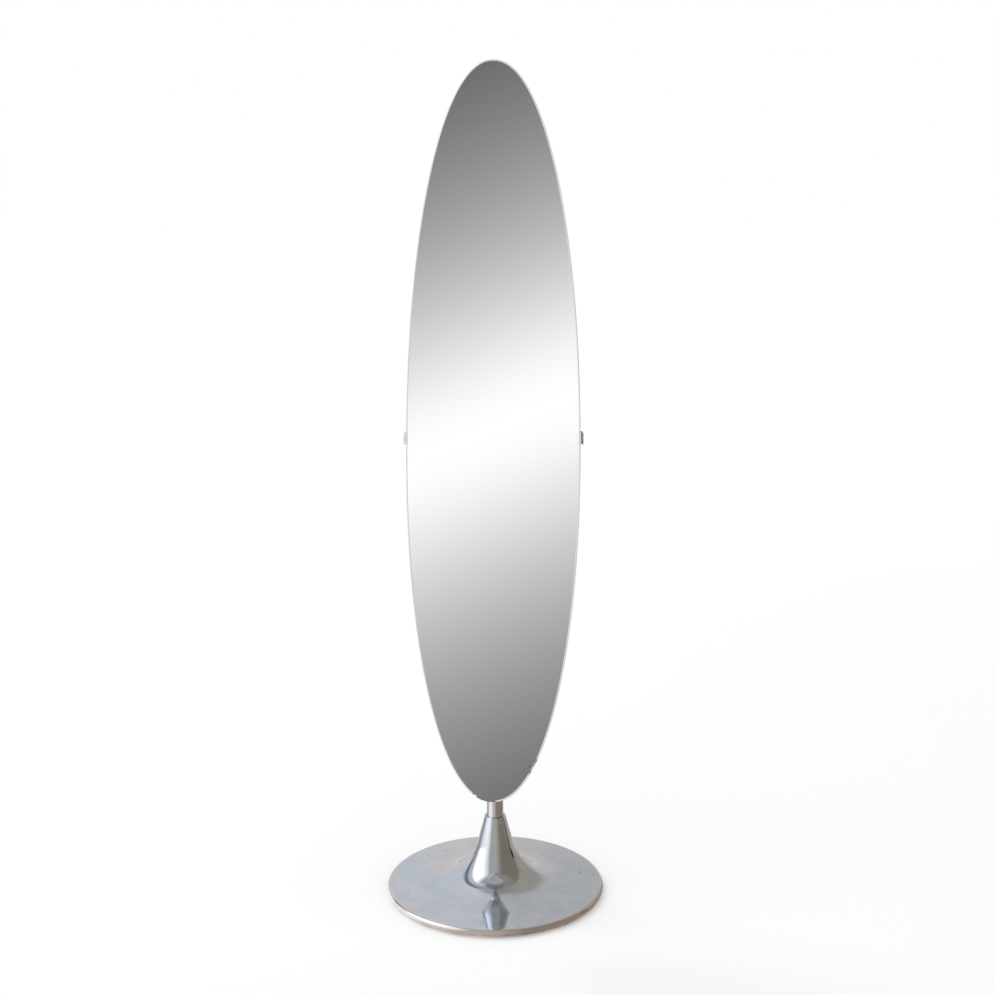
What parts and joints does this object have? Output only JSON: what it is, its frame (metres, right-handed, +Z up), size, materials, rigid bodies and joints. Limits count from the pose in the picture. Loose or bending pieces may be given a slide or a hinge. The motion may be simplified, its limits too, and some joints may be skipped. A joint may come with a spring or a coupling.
{
  "type": "oval floor mirror",
  "caption": "Long oval mirror in a thin chromed rim, tilting on a bent flat bar, on a round pole that turns in a chromed trumpet foot.",
  "frame": {"origin": "centre of the foot's underside, on the axis of the pole", "axes": "+Z up along the pole, the mirror's face looks towards -Y, +X to the right seen from the front"},
  "size_m": [0.4179, 0.418, 1.5844],
  "materials": {
    "chrome_foot": "polished, aged",
    "cast_iron": "rough",
    "plate_steel": "satin",
    "zinc_screws": "zinc plated",
    "felt": "felt",
    "white_nylon": "satin",
    "black_nylon": "satin",
    "turned_steel": "turned",
    "chrome_pole": "polished",
    "chrome_yoke": "polished",
    "chrome_rim": "polished, worn",
    "mirror_glass": "silvered",
    "packing": "felt",
    "fibreboard": "painted hardboard",
    "spring_steel": "satin",
    "black_rubber": "matte",
    "pivot_steel": "satin"
  },
  "bodies": {
    "foot": {"foot_shell": "chrome_foot", "base_weight": "cast_iron", "bottom_plate": "plate_steel", "bottom_plate_screws": "zinc_screws", "felt_ring": "felt", "socket_flange": "plate_steel", "flange_screws": "zinc_screws", "socket_tube": "plate_steel", "lower_bush": "white_nylon", "upper_bush": "black_nylon", "thrust_washer": "white_nylon"},
    "mast": {"pole_foot_plug": "turned_steel", "pole_tube": "chrome_pole", "pole_cap": "chrome_pole", "yoke_saddle": "chrome_yoke", "yoke_bar": "chrome_yoke", "yoke_bolts": "zinc_screws", "yoke_washers": "zinc_screws"},
    "mirror": {"mirror_rim": "chrome_rim", "rim_joint_plate": "turned_steel", "mirror_glass": "mirror_glass", "packing_sheet": "packing", "backing_board": "fibreboard", "retaining_clips": "spring_steel", "clip_screws": "zinc_screws", "pivot_block_left": "turned_steel", "pivot_block_right": "turned_steel", "pivot_clip_left": "chrome_rim", "pivot_clip_right": "chrome_rim", "pivot_washer_left": "black_rubber", "pivot_washer_right": "black_rubber", "pivot_screw_left": "pivot_steel", "pivot_screw_right": "pivot_steel"}
  },
  "joints": [
    {"name": "swivel", "type": "hinge", "parent": "foot", "child": "mast", "pos_m": [0, 0, 0], "axis": [0, 0, 1], "continuous": true},
    {"name": "tilt", "type": "hinge", "parent": "mast", "child": "mirror", "pos_m": [0, -0.042, 0.895], "axis": [-1, 0, 0], "range_deg": [-11, 14]}
  ]
}
